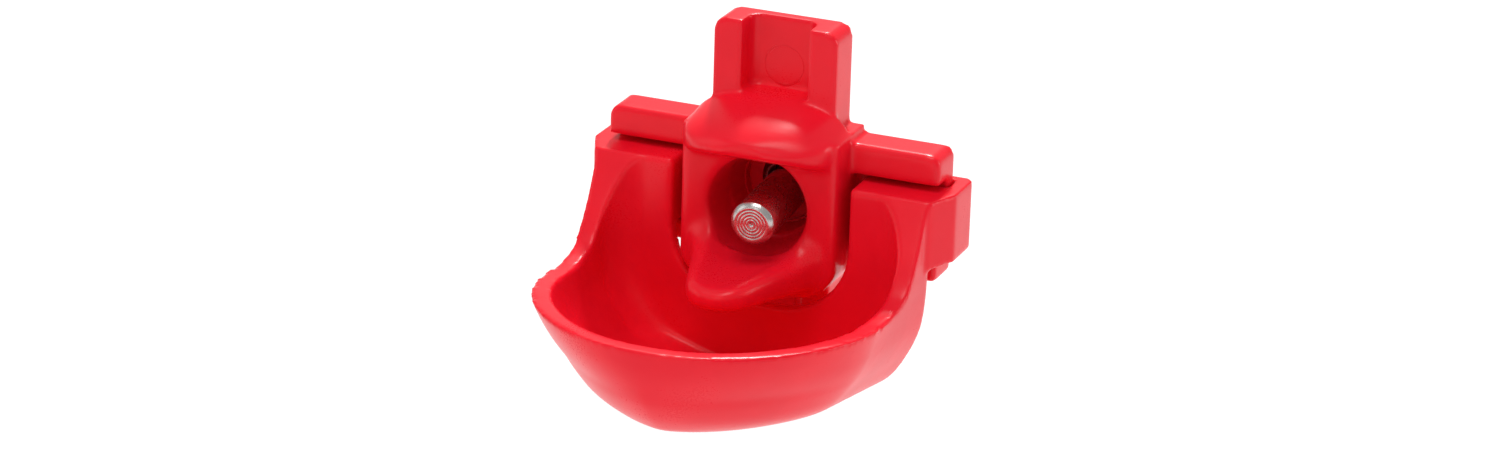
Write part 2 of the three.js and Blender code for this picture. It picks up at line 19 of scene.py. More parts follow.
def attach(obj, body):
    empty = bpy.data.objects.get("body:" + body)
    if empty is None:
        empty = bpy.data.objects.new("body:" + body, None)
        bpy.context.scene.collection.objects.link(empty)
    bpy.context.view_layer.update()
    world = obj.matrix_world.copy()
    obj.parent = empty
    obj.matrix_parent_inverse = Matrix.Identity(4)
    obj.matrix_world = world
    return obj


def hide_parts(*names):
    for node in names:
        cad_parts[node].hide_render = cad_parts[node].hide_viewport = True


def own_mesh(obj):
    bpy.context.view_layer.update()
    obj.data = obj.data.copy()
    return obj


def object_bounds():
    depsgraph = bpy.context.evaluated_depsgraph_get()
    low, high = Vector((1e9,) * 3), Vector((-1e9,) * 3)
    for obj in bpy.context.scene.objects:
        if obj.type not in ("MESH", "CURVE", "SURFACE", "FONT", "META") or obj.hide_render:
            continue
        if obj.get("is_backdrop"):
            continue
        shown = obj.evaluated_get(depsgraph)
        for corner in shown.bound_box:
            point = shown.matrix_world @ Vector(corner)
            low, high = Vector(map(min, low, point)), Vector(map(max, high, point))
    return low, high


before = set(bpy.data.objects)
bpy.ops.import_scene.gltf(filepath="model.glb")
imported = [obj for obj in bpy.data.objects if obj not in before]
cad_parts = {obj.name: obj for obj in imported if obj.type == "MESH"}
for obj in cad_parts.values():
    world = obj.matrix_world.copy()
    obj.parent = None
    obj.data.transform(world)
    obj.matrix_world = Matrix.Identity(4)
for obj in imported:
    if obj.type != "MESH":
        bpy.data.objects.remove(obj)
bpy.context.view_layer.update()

LOG = logging.getLogger("drinker_cup")
MM = 0.001
JOIN = 0.4
GAP = 0.3

Pair = tuple[float, float]
Point = tuple[float, float, float]


# ---- The bench ---------------------------------------------------------------------------------------


class Axis(Enum):
    """The direction that a flat outline is drawn out along."""

    X = "x"
    Y = "y"
    Z = "z"

    def place(self, a: float, b: float, level: float) -> Point:
        """The point (a, b) of an outline at a level along this axis."""
        if self is Axis.X:
            return (level, a, b)
        if self is Axis.Y:
            return (a, level, b)
        return (a, b, level)


class Join(Enum):
    """What a second solid does to the first."""

    ADD = "UNION"
    CUT = "DIFFERENCE"
    KEEP_COMMON = "INTERSECT"


class Bench:
    """Modelling steps on one object at a time, in millimetres."""

    @staticmethod
    def clear() -> None:
        """Leaves edit mode and deselects everything."""
        if bpy.context.mode != "OBJECT":
            bpy.ops.object.mode_set(mode="OBJECT")
        bpy.ops.object.select_all(action="DESELECT")

    @staticmethod
    def pick(obj: bpy.types.Object) -> None:
        """Makes obj the only selected object, and the active one."""
        Bench.clear()
        obj.select_set(True)
        bpy.context.view_layer.objects.active = obj

    @staticmethod
    def freeze() -> None:
        """Puts the picked object's place, turn and size into its mesh."""
        bpy.ops.object.transform_apply(location=True, rotation=True, scale=True)

    @staticmethod
    def apply(obj: bpy.types.Object, kind: str, settings: dict) -> None:
        """Adds a modifier with its settings and applies it.

        Args:
            obj: The object to change.
            kind: The modifier's type.
            settings: Its properties by name.
        """
        Bench.pick(obj)
        modifier = obj.modifiers.new(kind.lower(), kind)
        for name, value in settings.items():
            setattr(modifier, name, value)
        bpy.ops.object.modifier_apply(modifier=modifier.name)

    @staticmethod
    def combine(obj: bpy.types.Object, tool: bpy.types.Object, how: Join, solver: str = "EXACT") -> None:
        """Joins, cuts or intersects obj with a tool, which is used up.

        Args:
            obj: The solid that stays.
            tool: The solid that acts on it.
            how: What the tool does.
            solver: Blender's name for the way of working it out.
        """
        Bench.apply(obj, "BOOLEAN", {"operation": how.value, "solver": solver, "object": tool})
        bpy.data.objects.remove(tool, do_unlink=True)

    @staticmethod
    def loft(rings: Sequence[Sequence[Point]]) -> bpy.types.Object:
        """Draws a face out ring by ring into a closed solid.

        Args:
            rings: Outlines with the same number of points each.

        Returns:
            The solid.
        """
        Bench.clear()
        bpy.ops.mesh.primitive_circle_add(vertices=len(rings[0]), fill_type="NGON")
        obj = bpy.context.object
        bpy.ops.object.mode_set(mode="EDIT")
        bpy.ops.mesh.select_all(action="SELECT")
        sheet = bmesh.from_edit_mesh(obj.data)
        sheet.faces.ensure_lookup_table()
        cap = [vertex.index for vertex in sheet.faces[0].verts]
        sheet.verts.ensure_lookup_table()
        for index, point in zip(cap, rings[0]):
            sheet.verts[index].co = point
        bmesh.update_edit_mesh(obj.data)
        for ring in rings[1:]:
            bpy.ops.mesh.extrude_region_move()
            sheet = bmesh.from_edit_mesh(obj.data)
            sheet.verts.ensure_lookup_table()
            sheet.verts.index_update()
            cap = [Bench._lifted(sheet.verts[index]) for index in cap]
            for index, point in zip(cap, ring):
                sheet.verts[index].co = point
            bmesh.update_edit_mesh(obj.data)
        bpy.ops.mesh.select_all(action="SELECT")
        bpy.ops.mesh.normals_make_consistent(inside=False)
        bpy.ops.object.mode_set(mode="OBJECT")
        return obj

    @staticmethod
    def _lifted(vertex: bmesh.types.BMVert) -> int:
        """The index of the new vertex that an extrusion drew out of this one."""
        if vertex.select:
            return vertex.index
        return next(e.other_vert(vertex).index for e in vertex.link_edges if e.other_vert(vertex).select)

    @staticmethod
    def prism(outline: Sequence[Pair], axis: Axis, start: float, end: float) -> bpy.types.Object:
        """A flat outline drawn out between two levels along an axis.

        Args:
            outline: Points in the plane across the axis.
            axis: The direction.
            start: The first level.
            end: The last level.

        Returns:
            The solid.
        """
        return Bench.loft([[axis.place(a, b, level) for a, b in outline] for level in (start, end)])

    @staticmethod
    def box(low: Point, high: Point) -> bpy.types.Object:
        """A block between two corners."""
        Bench.clear()
        middle = [(a + b) / 2 for a, b in zip(low, high)]
        size = [b - a for a, b in zip(low, high)]
        bpy.ops.mesh.primitive_cube_add(size=1, location=middle, scale=size)
        Bench.freeze()
        return bpy.context.object

    @staticmethod
    def rod(profile: Sequence[Pair], steps: int = 64, rise: float = 0) -> bpy.types.Object:
        """A solid of round rings along Y.

        Args:
            profile: (radius, y) of each ring, front to back.
            steps: Points round each ring.
            rise: Height of the axis above the shank's.

        Returns:
            The solid.
        """
        turns = [2 * math.pi * i / steps for i in range(steps)]
        return Bench.loft([[(r * math.cos(a), y, rise + r * math.sin(a)) for a in turns] for r, y in profile])

    @staticmethod
    def turned(profile: Sequence[Pair], steps: int = 96) -> bpy.types.Object:
        """A closed (radius, y) profile spun once round the Y axis.

        Args:
            profile: The section's corners in order.
            steps: How many sections make the turn.

        Returns:
            The ring-shaped solid.
        """
        Bench.clear()
        bpy.ops.mesh.primitive_circle_add(vertices=len(profile), fill_type="NOTHING")
        obj = bpy.context.object
        for vertex, (radius, y) in zip(obj.data.vertices, profile):
            vertex.co = (radius, y, 0)
        bpy.ops.object.mode_set(mode="EDIT")
        bpy.ops.mesh.select_all(action="SELECT")
        bpy.ops.mesh.spin(steps=steps, angle=2 * math.pi, center=(0, 0, 0), axis=(0, 1, 0))
        bpy.ops.mesh.select_all(action="SELECT")
        bpy.ops.mesh.remove_doubles(threshold=1e-4)
        bpy.ops.mesh.normals_make_consistent(inside=False)
        bpy.ops.object.mode_set(mode="OBJECT")
        return obj

    @staticmethod
    def slide(obj: bpy.types.Object, way: Point) -> None:
        """Moves an object's mesh."""
        Bench.pick(obj)
        obj.location = way
        Bench.freeze()

    @staticmethod
    def turn(obj: bpy.types.Object, pivot: Point, degrees: dict[str, float]) -> None:
        """Turns an object's mesh about a pivot, one axis after another.

        Args:
            obj: The object.
            pivot: The point that stays.
            degrees: The angle for each axis, in order.
        """
        Bench.pick(obj)
        turned = Matrix.Identity(4)
        for axis, angle in degrees.items():
            turned = Matrix.Rotation(math.radians(angle), 4, axis) @ turned
        obj.matrix_world = Matrix.Translation(pivot) @ turned @ Matrix.Translation([-v for v in pivot])
        Bench.freeze()

    @staticmethod
    def mould(obj: bpy.types.Object, voxel: float, passes: int) -> None:
        """Turns sharp joined solids into one skin with the soft edges of a moulding.

        Args:
            obj: The solid.
            voxel: Size of the skin's cells.
            passes: How often the skin is relaxed.
        """
        Bench.apply(obj, "REMESH", {"mode": "VOXEL", "voxel_size": voxel, "use_smooth_shade": True})
        Bench.apply(obj, "SMOOTH", {"factor": 0.5, "iterations": passes})

    @staticmethod
    def relax(obj: bpy.types.Object, weight: Callable[[Vector], float], passes: int) -> None:
        """Relaxes part of a skin further, by a weight at each point.

        Args:
            obj: The skin.
            weight: From 0, left alone, to 1, at a point.
            passes: How often it is relaxed.
        """
        group = obj.vertex_groups.new(name="soft")
        for vertex in obj.data.vertices:
            amount = weight(vertex.co)
            if amount > 0:
                group.add([vertex.index], amount, "REPLACE")
        Bench.apply(obj, "SMOOTH", {"factor": 0.5, "iterations": passes, "vertex_group": "soft"})
        obj.vertex_groups.clear()

    @staticmethod
    def settle(obj: bpy.types.Object, name: str, sharp: float | None = None) -> None:
        """Names a finished piece, brings it to metres and smooths its shading.

        Args:
            obj: The piece.
            name: Its name.
            sharp: The angle in degrees past which an edge stays sharp, or None for none.
        """
        Bench.pick(obj)
        obj.scale = (MM, MM, MM)
        Bench.freeze()
        obj.name = obj.data.name = name
        if sharp is None:
            bpy.ops.object.shade_smooth()
        else:
            bpy.ops.object.shade_smooth_by_angle(angle=math.radians(sharp))


def arc(x: float, y: float, radius: float, start: float, end: float, steps: int) -> list[Pair]:
    """Points along an arc.

    Args:
        x: The centre's first coordinate.
        y: The centre's second coordinate.
        radius: The arc's radius.
        start: Its first angle in degrees.
        end: Its last angle in degrees.
        steps: The number of chords.

    Returns:
        The points, both ends among them.
    """
    angles = [math.radians(start + (end - start) * i / steps) for i in range(steps + 1)]
    return [(x + radius * math.cos(a), y + radius * math.sin(a)) for a in angles]


def curve_through(points: Sequence[Pair], steps: int) -> list[Pair]:
    """A smooth curve through points.

    Args:
        points: The points that it passes.
        steps: Chords between each two of them.

    Returns:
        Points along the curve.
    """
    ends = [points[0], *points, points[-1]]
    found = []
    for i in range(len(points) - 1):
        p0, p1, p2, p3 = (Vector(p) for p in ends[i : i + 4])
        for k in range(steps):
            t = k / steps
            bend = 2 * p0 - 5 * p1 + 4 * p2 - p3
            found.append(0.5 * (2 * p1 + (p2 - p0) * t + bend * t**2 + (3 * p1 - p0 - 3 * p2 + p3) * t**3))
    return [(p.x, p.y) for p in found] + [tuple(points[-1])]


def curve_table(rows: Sequence[tuple], steps: int) -> list[tuple]:
    """Rows of numbers with smooth rows put in between.

    Args:
        rows: The rows, the first number of each rising or falling steadily.
        steps: Steps between each two rows.

    Returns:
        The rows and those between them.
    """
    columns = [curve_through([(row[0], row[k]) for row in rows], steps) for k in range(1, len(rows[0]))]
    return [(points[0][0], *(value for _, value in points)) for points in zip(*columns)]


def oval(half: float, top: float, low: float, upper: Pair, lower: Pair, steps: int) -> list[tuple]:
    """A closed outline across X and Z, between an ellipse and a rectangle.

    Args:
        half: Half of its width.
        top: Its highest level.
        low: Its lowest level.
        upper: How square its upper half is, across and up: 1 is an ellipse, and less is squarer.
        lower: The same for its lower half.
        steps: The number of points.

    Returns:
        (cosine, sine, x, z) of each point.
    """
    middle, rise = (top + low) / 2, (top - low) / 2
    points = []
    for i in range(steps):
        a = 2 * math.pi * i / steps
        c, s = math.cos(a), math.sin(a)
        wide, tall = upper if s > 0 else lower
        x = half * math.copysign(abs(c) ** wide, c)
        points.append((c, s, x, middle + rise * math.copysign(abs(s) ** tall, s)))
    return points


def blend_between(value: float, low: float, high: float) -> float:
    """0 below low, 1 above high, and a smooth step between them."""
    t = min(1.0, max(0.0, (value - low) / (high - low)))
    return t * t * (3 - 2 * t)


# ---- Shader sheets -----------------------------------------------------------------------------------


class Wave:
    """A number that varies over a surface, which ordinary operators work on."""

    def __init__(self, sheet: "Sheet", socket: bpy.types.NodeSocket) -> None:
        """Wraps a socket of a sheet."""
        self.sheet = sheet
        self.socket = socket

    def __add__(self, other: "Wave | float") -> "Wave":
        """The sum."""
        return self.sheet.math("ADD", self, other)

    __radd__ = __add__

    def __mul__(self, other: "Wave | float") -> "Wave":
        """The product."""
        return self.sheet.math("MULTIPLY", self, other)

    def __pow__(self, other: "Wave | float") -> "Wave":
        """The power."""
        return self.sheet.math("POWER", self, other)

    def step(self, low: float, high: float) -> "Wave":
        """0 below low, 1 above high, smooth between."""
        found = self.sheet.node(
            "ShaderNodeMapRange",
            {"interpolation_type": "SMOOTHSTEP"},
            {"Value": self, "From Min": low, "From Max": high},
        )
        return Wave(self.sheet, found.outputs["Result"])

    def sine(self) -> "Wave":
        """The sine."""
        return self.sheet.math("SINE", self)


class Sheet:
    """One material's nodes round a Principled shader."""

    def __init__(self, name: str) -> None:
        """Starts an empty sheet with that material name."""
        self.material = bpy.data.materials.new(name)
        self.material.use_nodes = True
        self.nodes = self.material.node_tree.nodes
        self.links = self.material.node_tree.links
        self.shader = self.nodes["Principled BSDF"]
        self.place = self.node("ShaderNodeTexCoord").outputs["Object"]

    def node(self, kind: str, settings: dict | None = None, inputs: dict | None = None) -> bpy.types.Node:
        """Adds a node.

        Args:
            kind: The node's type.
            settings: Its properties by name.
            inputs: A value, a socket or a Wave for each input by name or number.

        Returns:
            The node.
        """
        found = self.nodes.new(kind)
        for name, value in (settings or {}).items():
            setattr(found, name, value)
        for name, value in (inputs or {}).items():
            self.feed(found.inputs[name], value)
        return found

    def feed(self, socket: bpy.types.NodeSocket, value: object) -> None:
        """Gives a socket a Wave, another socket or a plain value."""
        if isinstance(value, Wave):
            self.links.new(value.socket, socket)
        elif isinstance(value, bpy.types.NodeSocket):
            self.links.new(value, socket)
        else:
            socket.default_value = value

    def math(self, operation: str, *values: "Wave | float") -> Wave:
        """A Math node on one or two numbers."""
        found = self.node("ShaderNodeMath", {"operation": operation}, dict(enumerate(values)))
        return Wave(self, found.outputs[0])

    def axes(self) -> tuple[Wave, Wave, Wave]:
        """The X, Y and Z of the surface point, in metres."""
        found = self.node("ShaderNodeSeparateXYZ", None, {"Vector": self.place})
        x, y, z = (Wave(self, socket) for socket in found.outputs)
        return x, y, z

    def noise(self, grain_mm: float, detail: float = 2.0, rough: float = 0.5) -> Wave:
        """Soft noise from 0 to 1.

        Args:
            grain_mm: Size of its spots in millimetres.
            detail: How many finer layers it has.
            rough: How strong those are.

        Returns:
            The noise.
        """
        inputs = {"Vector": self.place, "Scale": 1 / (grain_mm * MM), "Detail": detail, "Roughness": rough}
        return Wave(self, self.node("ShaderNodeTexNoise", None, inputs).outputs[0])

    def tint(self, amount: "Wave | float", low: Point, high: Point) -> bpy.types.NodeSocket:
        """A colour from low to high by an amount from 0 to 1."""
        inputs = {"Factor": amount, "A": (*low, 1.0), "B": (*high, 1.0)}
        found = self.nodes.new("ShaderNodeMix")
        found.data_type = "RGBA"
        for name, value in inputs.items():
            socket = next(s for s in found.inputs if s.name == name and s.enabled)
            self.feed(socket, value)
        return next(s for s in found.outputs if s.enabled)

    def set(self, **values: object) -> None:
        """Sets the shader's sockets, with _ for a space in each name."""
        for name, value in values.items():
            self.feed(self.shader.inputs[name.replace("_", " ")], value)

    def bump(self, height: Wave, depth_mm: float) -> None:
        """Dents the surface by a height from 0 to 1, that many millimetres deep."""
        inputs = {"Height": height, "Distance": depth_mm * MM, "Strength": 1.0}
        self.set(Normal=self.node("ShaderNodeBump", None, inputs).outputs["Normal"])


@dataclass(frozen=True)
class MouldedPlastic:
    """Glossy dyed plastic straight from a polished mould."""

    name: str
    slot: str
    colour: Point = (0.84, 0.007, 0.022)
    deep: Point = (0.78, 0.005, 0.019)
    roughness: float = 0.24
    swirl_mm: float = 9.0
    peel_mm: float = 1.6
    grain_mm: float = 0.22
    peel_depth_mm: float = 0.012

    def make(self) -> bpy.types.Material:
        """Builds the material."""
        sheet = Sheet(self.name)
        swirl = sheet.noise(self.swirl_mm, 3.0)
        peel = sheet.noise(self.peel_mm, 2.0)
        grain = sheet.noise(self.grain_mm, 3.0, 0.6)
        scuff = sheet.noise(0.7, 6.0, 0.75).step(0.56, 0.74)
        sheet.set(
            Base_Color=sheet.tint(swirl.step(0.3, 0.7), self.colour, self.deep),
            Roughness=self.roughness + swirl * 0.05 + grain * 0.04 + scuff * 0.10,
            IOR=1.49,
            Specular_IOR_Level=0.24,
            Subsurface_Weight=0.15,
            Subsurface_Radius=(1.0, 0.12, 0.10),
            Subsurface_Scale=0.0012,
        )
        sheet.bump(peel * 0.7 + grain * 0.18 + scuff * 0.12, self.peel_depth_mm)
        return sheet.material


@dataclass(frozen=True)
class TurnedSteel:
    """Stainless steel with the fine rings that a lathe leaves."""

    name: str = "turned_steel"
    colour: Point = (0.62, 0.59, 0.57)
    roughness: float = 0.2
    ring_mm: float = 0.16
    feed_mm: float = 0.09
    depth_mm: float = 0.004

    def make(self) -> bpy.types.Material:
        """Builds the material."""
        sheet = Sheet(self.name)
        x, y, z = sheet.axes()
        radius = (x * x + z * z) ** 0.5
        rings = (radius * (2 * math.pi / (self.ring_mm * MM))).sine() * 0.5 + 0.5
        lines = (y * (2 * math.pi / (self.feed_mm * MM))).sine() * 0.5 + 0.5
        cloud = sheet.noise(0.8, 4.0, 0.65)
        sheet.set(
            Base_Color=sheet.tint(cloud.step(0.3, 0.75), self.colour, tuple(c * 0.78 for c in self.colour)),
            Metallic=1.0,
            Roughness=self.roughness + cloud * 0.12,
        )
        sheet.bump(rings * 0.7 + lines * 0.25 + cloud * 0.2, self.depth_mm)
        return sheet.material


@dataclass(frozen=True)
class SpringWire:
    """Drawn spring wire, a little dull."""

    name: str = "spring_wire"
    colour: Point = (0.42, 0.41, 0.40)

    def make(self) -> bpy.types.Material:
        """Builds the material."""
        sheet = Sheet(self.name)
        drawn = sheet.noise(0.12, 5.0, 0.7)
        sheet.set(
            Base_Color=sheet.tint(drawn, self.colour, (0.25, 0.24, 0.23)),
            Metallic=1.0,
            Roughness=0.24 + drawn * 0.15,
        )
        sheet.bump(drawn, 0.004)
        return sheet.material


@dataclass(frozen=True)
class BlackRubber:
    """Soft black seal rubber with a fine bloom."""

    name: str = "black_rubber"
    colour: Point = (0.012, 0.012, 0.013)

    def make(self) -> bpy.types.Material:
        """Builds the material."""
        sheet = Sheet(self.name)
        bloom = sheet.noise(0.5, 5.0, 0.7)
        grain = sheet.noise(0.1, 3.0)
        sheet.set(
            Base_Color=sheet.tint(bloom.step(0.45, 0.8), self.colour, (0.035, 0.034, 0.034)),
            Roughness=0.48 + bloom * 0.2,
            Specular_IOR_Level=0.4,
        )
        sheet.bump(bloom * 0.5 + grain * 0.5, 0.012)
        return sheet.material


@dataclass(frozen=True)
class MilkySilicone:
    """Soft translucent milky silicone, with a pink tint painted into its colour: painted red light from the
    red mouldings round it.
    """

    name: str = "milky_silicone"
    # Both tints are pink: the washer's own milky pale with painted red light from the mouldings round it
    # mixed in.
    colour: Point = (0.74, 0.56, 0.52)
    cloudy: Point = (0.80, 0.66, 0.62)

    def make(self) -> bpy.types.Material:
        """Builds the material."""
        sheet = Sheet(self.name)
        cloud = sheet.noise(3.0, 4.0, 0.6)
        grain = sheet.noise(0.25, 3.0)
        sheet.set(
            # The pink of this colour is painted red light picked up from the mouldings round the washer.
            Base_Color=sheet.tint(cloud.step(0.3, 0.7), self.colour, self.cloudy),
            Roughness=0.34 + cloud * 0.12,
            IOR=1.41,
            Subsurface_Weight=0.7,
            Subsurface_Radius=(1.0, 0.7, 0.6),
            Subsurface_Scale=0.002,
        )
        sheet.bump(cloud * 0.6 + grain * 0.4, 0.02)
        return sheet.material


@dataclass(frozen=True)
class PaleFloor:
    """Plain pale studio paper."""

    name: str = "pale_paper"
    colour: Point = (0.1, 0.1, 0.1)

    def make(self) -> bpy.types.Material:
        """Builds the material."""
        sheet = Sheet(self.name)
        fibre = sheet.noise(2.0, 4.0)
        sheet.set(
            Base_Color=sheet.tint(fibre, self.colour, tuple(c * 0.985 for c in self.colour)),
            Roughness=0.8,
            Specular_IOR_Level=0.2,
            Emission_Color=(1.0, 1.0, 1.0, 1.0),
            Emission_Strength=1.0,
        )
        return sheet.material


def dress(
    obj: bpy.types.Object, material: bpy.types.Material, body: str, nodes: Sequence[str]
) -> None:
    """Gives a finished piece its material and body, and hides the CAD nodes that it stands for.

    Args:
        obj: The piece.
        material: Its material.
        body: The CAD body that it rides on.
        nodes: The CAD nodes that it replaces.
    """
    obj.data.materials.clear()
    obj.data.materials.append(material)
    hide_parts(*nodes)
    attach(obj, body)
    LOG.info("%s: %d faces, rides %s, for %s", obj.name, len(obj.data.polygons), body, ", ".join(nodes))


# ---- Valve body --------------------------------------------------------------------------------------


# The tongue from the block to its tip: Y, half of the width, ridges' height, underside, depth of the valley
TONGUE_SECTIONS = [
    (-6.0, 8.9, -1.5, -10.7, 0.3),
    (-8.6, 8.8, -2.2, -10.6, 1.2),
    (-10.2, 7.6, -4.0, -10.3, 1.6),
    (-12.0, 6.8, -4.9, -10.0, 1.3),
    (-14.5, 5.9, -5.1, -9.6, 1.1),
    (-17.5, 4.9, -5.3, -9.2, 0.9),
    (-20.0, 4.0, -5.5, -8.9, 0.6),
    (-21.6, 3.1, -5.8, -8.7, 0.3),
    (-22.5, 1.9, -6.4, -8.3, 0.1),
    (-22.8, 0.9, -6.9, -7.8, 0.0),
]
TONGUE_UPPER = (0.55, 0.5)
TONGUE_LOWER = (0.7, 0.55)
VALLEY_WIDTH = 0.72  # as a share of the tongue's width
# The hood in front of the flange: the Y of each ring, and how square it is above and below
HOOD_DEPTHS = (-6.5, -7.5, -8.5, -9.5, -10.5, -11.5, -12.4, -13.1, -13.6, -14.0)
HOOD_UPPER = (0.72, 0.66)
HOOD_LOWER = (0.25, 0.3)
HOOD_CLEAR = (30, 30)  # half of the width, and the height, of a box that holds all of the hood
MARK_HEIGHTS = (14.4, -14.5)  # of the ejector pins' marks on the upright and on the leg
MARK_PROFILE = ((2.2, -0.5), (2.6, -0.5), (2.5, 0.05), (2.3, 0.05))  # radius, and depth below the web
# The thread: rings in each pitch, points in each ring, where in a pitch its crest is, and how flat that is
THREAD_RINGS = 16
THREAD_STEPS = 80
CREST_AT = 0.62
CREST_FLAT = 1.08
# The shank's foot inside the web, as shares of the shank's width and of the web's thickness
FOOT_SIZE = 0.96
FOOT_DEPTH = 0.6


@dataclass
class ValveBody:
    """The red moulding with the back plate, block, hood, tongue and threaded shank."""

    plate_edge: float = 20.5
    flange: float = 5.0
    plate: float = 2.1
    web: float = 1.6
    arm_top: float = 7.5
    arm_bottom: float = 3.9
    arm_corner: float = 1.3
    ledge_top: float = -5.4
    ledge_bottom: float = -7.7
    ledge_corner: float = 0.4
    upright_top: float = 20.2
    upright_edge: float = 7.6
    upright_corner: float = 1.5
    fillet: float = 1.4
    channel_edge: float = 4.1
    channel_corner: float = 1.4
    leg_bottom: float = -19.9
    block_edge: float = 9.65
    block_front: float = -9.2
    block_corner: float = 0.9
    block_bottom: float = -10.8
    block_top: float = 8.5
    hood_top: float = 11.5
    hood_under: float = 5.1
    hood_nose: float = -14.2
    hood_edge: float = 9.2
    hood_start: float = -7.5
    hood_tip: float = 1.5
    hood_swell: float = 0.2
    hood_slope: float = 0.26
    hood_fall: float = 0.9
    hood_lift: float = 2.3
    hood_drop: float = 1.5
    under_corner: float = 4.8
    under_spare: float = 0.2
    recess: float = 5.3
    recess_end: float = 0.3
    recess_end_radius: float = 4.7
    mouth: float = 6.1
    mouth_depth: float = 5.0
    mouth_drop: float = 0.5
    spring_bore: float = 3.1
    spring_seat: float = 7.0
    stem_bore: float = 2.2
    shank: float = 13.4
    thread_base: float = 5.75
    thread_tip: float = 4.45
    pitch: float = 1.0
    thread_depth: float = 0.45
    thread_start: float = 0.5
    thread_end: float = 0.7
    skin: float = 0.28

    def build(self, plastic: bpy.types.Material, slot: str) -> None:
        """Makes the moulding and puts it in the frame.

        Args:
            plastic: The material.
            slot: Not used.
        """
        body = self._back_plate()
        for part in (self._block(), self._tongue(), self._hood()):
            Bench.combine(body, part, Join.ADD)
        for hollow in self._recess():
            Bench.combine(body, hollow, Join.CUT)
        Bench.mould(body, self.skin, 4)
        Bench.relax(body, self._softness, 14)
        Bench.combine(body, self._shank(), Join.ADD, "MANIFOLD")
        for hollow in self._bores():
            Bench.combine(body, hollow, Join.CUT, "MANIFOLD")
        for mark in self._marks():
            Bench.combine(body, mark, Join.CUT, "MANIFOLD")
        Bench.settle(body, "valve_body_moulding", 35)
        dress(body, plastic, "root", ["valve_body"])

    def _half_cross(self) -> list[Pair]:
        """The right half of the cross, from the leg's foot up to the top."""
        edge = self.upright_edge
        inner = edge - self.upright_corner
        turn = edge + self.fillet
        small, large = self.ledge_corner, self.arm_corner
        return [
            *arc(inner, self.leg_bottom + self.upright_corner, self.upright_corner, -90, 0, 8),
            (edge, self.ledge_bottom),
            *arc(self.plate_edge - small, self.ledge_bottom + small, small, -90, 0, 4),
            *arc(self.plate_edge - large, self.arm_top - large, large, 0, 90, 8),
            *arc(turn, self.arm_top + self.fillet, self.fillet, -90, -180, 8),
            *arc(inner, self.upright_top - self.upright_corner, self.upright_corner, 0, 90, 8),
        ]

    def _back_plate(self) -> bpy.types.Object:
        """The cross with its pockets and its channels."""
        right = self._half_cross()
        outline = right + [(-x, z) for x, z in reversed(right)]
        cross = Bench.prism(outline, Axis.Y, -self.flange, 0)
        front = -self.flange - JOIN
        for side in (-1, 1):
            x = sorted((side * self.upright_edge, side * (self.plate_edge + JOIN)))
            pocket = Bench.box((x[0], front, self.ledge_top), (x[1], -self.plate, self.arm_bottom))
            Bench.combine(cross, pocket, Join.CUT)
        inner, turn = self.channel_edge - self.channel_corner, -self.web - self.channel_corner
        channel_section = [
            (-self.channel_edge, front),
            (self.channel_edge, front),
            *arc(inner, turn, self.channel_corner, 0, 90, 8),
            *arc(-inner, turn, self.channel_corner, 90, 180, 8),
        ]
        upper = (self.arm_top, self.upright_top + JOIN)
        lower = (self.leg_bottom - JOIN, self.ledge_bottom)
        for low, high in (upper, lower):
            Bench.combine(cross, Bench.prism(channel_section, Axis.Z, low, high), Join.CUT)
        return cross

    def _block(self) -> bpy.types.Object:
        """The block round the pin."""
        corner = self.block_front + self.block_corner
        inner = self.block_edge - self.block_corner
        outline = [
            (-self.block_edge, -JOIN),
            *arc(-inner, corner, self.block_corner, 180, 270, 8),
            *arc(inner, corner, self.block_corner, 270, 360, 8),
            (self.block_edge, -JOIN),
        ]
        block = Bench.prism(outline, Axis.Z, self.block_bottom, self.block_top)
        edge, turn = self.block_edge + self.under_spare, self.under_corner
        low = self.block_bottom + turn
        section = [*arc(turn - edge, low, turn, 180, 270, 12), *arc(edge - turn, low, turn, 270, 360, 12)]
        section += [(edge, self.upright_top), (-edge, self.upright_top)]
        Bench.combine(block, Bench.prism(section, Axis.Y, 2 * self.hood_nose, 0), Join.KEEP_COMMON)
        return block

    def _hood(self) -> bpy.types.Object:
        """The visor over the pin, drawn out from the web to its nose."""
        depths = [-self.web + JOIN, -self.flange, *HOOD_DEPTHS]
        nose = Bench.loft([self._hood_section(y) for y in depths])
        reach, high = HOOD_CLEAR
        wide = Bench.box((-reach, 2 * self.hood_nose, 0), (reach, -self.flange + JOIN, high))
        between = self.channel_edge + JOIN
        Bench.combine(wide, Bench.box((-between, -self.flange, 0), (between, JOIN, high)), Join.ADD)
        Bench.combine(nose, wide, Join.KEEP_COMMON)
        return nose

    def _hood_section(self, y: float) -> list[Point]:
        """The hood's outline across X and Z at one Y: round on top, crisp along its lower edge."""
        reach = max(0.0, min(1.0, (self.hood_start - y) / (self.hood_start - self.hood_nose)))
        half = max(self.hood_edge * max(0.0, 1 - reach**2.6) ** 0.45, self.hood_tip)
        slope = self.hood_slope * max(0.0, -self.flange - y)
        top = self.hood_top + self.hood_swell - slope - self.hood_fall * reach**4
        under = self.hood_under - self.hood_swell + self.hood_lift * reach**1.4
        points = []
        for c, s, x, z in oval(half, top, under, HOOD_UPPER, HOOD_LOWER, 64):
            drop = 0.25 * abs(c) ** 2 * reach + (self.hood_drop * abs(c) ** 3 * s if s > 0 else 0.0)
            points.append((x, y, z - drop))
        return points

    def _tongue(self) -> bpy.types.Object:
        """The tapered lip under the pin, drawn out from the block to its round tip."""
        rings = []
        for y, half, top, low, valley in curve_table(TONGUE_SECTIONS, 4):
            ring = []
            for _, s, x, z in oval(half, top, low, TONGUE_UPPER, TONGUE_LOWER, 56):
                if s > 0:
                    z -= valley * max(0.0, 1 - (x / (VALLEY_WIDTH * half)) ** 2)
                ring.append((x, y, z))
            rings.append(ring)
        return Bench.loft(rings)

